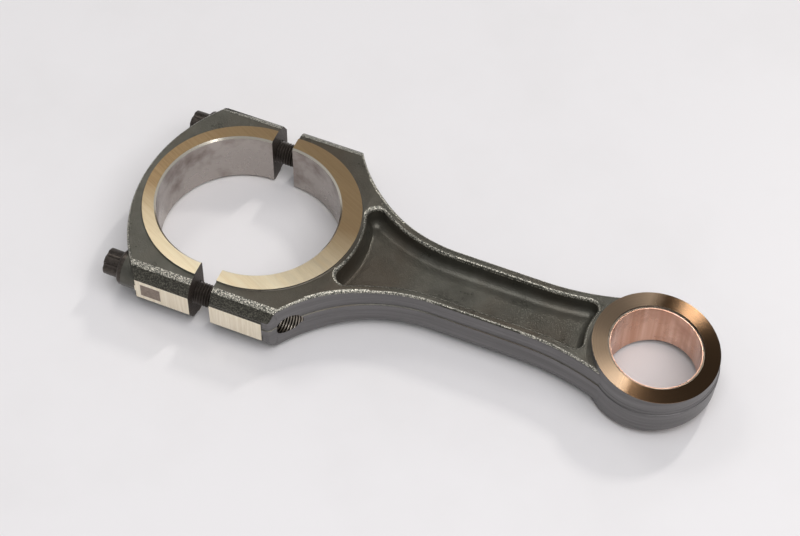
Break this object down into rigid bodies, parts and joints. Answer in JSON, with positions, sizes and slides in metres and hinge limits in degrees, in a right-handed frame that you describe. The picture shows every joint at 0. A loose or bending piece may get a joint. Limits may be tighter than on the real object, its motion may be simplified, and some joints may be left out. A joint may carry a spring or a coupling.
{
  "type": "connecting rod",
  "caption": "Forged I-beam connecting rod with a split big end, a bolted bearing cap drawn back on its cap screws, and a wedge-faced small end with a bronze-lined bush.",
  "frame": {"origin": "centre of the rod's half of the big-end bore, on the plane in which the big end is split", "axes": "+X runs from the big end to the small end, +Y across the two cap bolts, +Z along both bores"},
  "size_m": [0.3166, 0.1216, 0.0342],
  "materials": {
    "rod_forging": "forged skin, oily, with ground faces and bored holes",
    "bearing_cap": "forged skin, oily, with ground faces and a bored half circle",
    "cap_bolts": "dark phosphate",
    "bush_backing": "turned",
    "bush_lining": "satin bronze"
  },
  "bodies": {
    "rod": {"rod_forging": "rod_forging", "bush_backing": "bush_backing", "bush_lining": "bush_lining"},
    "cap": {"bearing_cap": "bearing_cap"},
    "bolt_near": {"cap_bolt_near": "cap_bolts"},
    "bolt_far": {"cap_bolt_far": "cap_bolts"}
  },
  "joints": [
    {"name": "cap_slide", "type": "slide", "parent": "rod", "child": "cap", "axis": [1, 0, 0], "range_m": [-0.012, 0.01178]},
    {"name": "bolt_near_spin", "type": "hinge", "parent": "cap", "child": "bolt_near", "pos_m": [-0.051, -0.0505, 0], "axis": [1, 0, 0], "range_deg": [-2881, 2828]},
    {"name": "bolt_far_spin", "type": "hinge", "parent": "cap", "child": "bolt_far", "pos_m": [-0.051, 0.0505, 0], "axis": [1, 0, 0], "range_deg": [-2881, 2828]}
  ],
  "couplings": [
    {"joint": "bolt_near_spin", "follows": "cap_slide", "rad_per_m": 4188.8},
    {"joint": "bolt_far_spin", "follows": "cap_slide", "rad_per_m": 4188.8}
  ]
}
